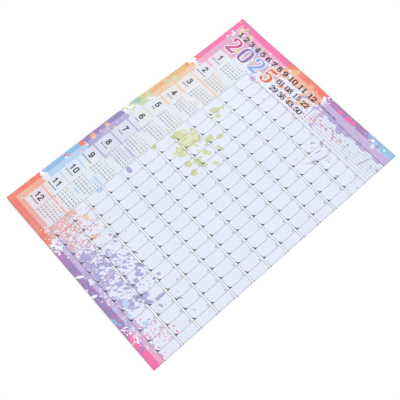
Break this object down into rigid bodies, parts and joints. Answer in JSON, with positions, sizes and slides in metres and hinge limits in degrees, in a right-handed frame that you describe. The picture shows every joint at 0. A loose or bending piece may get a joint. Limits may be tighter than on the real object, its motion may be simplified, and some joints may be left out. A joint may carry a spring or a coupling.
{
  "type": "wall calendar",
  "caption": "Large printed wall year planner on one sheet of coated paper, folded once in half, its upper leaf creased and sprung open.",
  "frame": {"origin": "on the table under the middle of the folded sheet", "axes": "+X from the free edges to the half fold, +Y to the title edge, +Z out of the printed face that shows"},
  "size_m": [0.3675, 0.52, 0.012],
  "materials": {
    "coated_paper": "coated paper with a soft sheen, printed in colour on its outer side"
  },
  "bodies": {
    "root": {"planner_sheet": "coated_paper"}
  },
  "joints": []
}
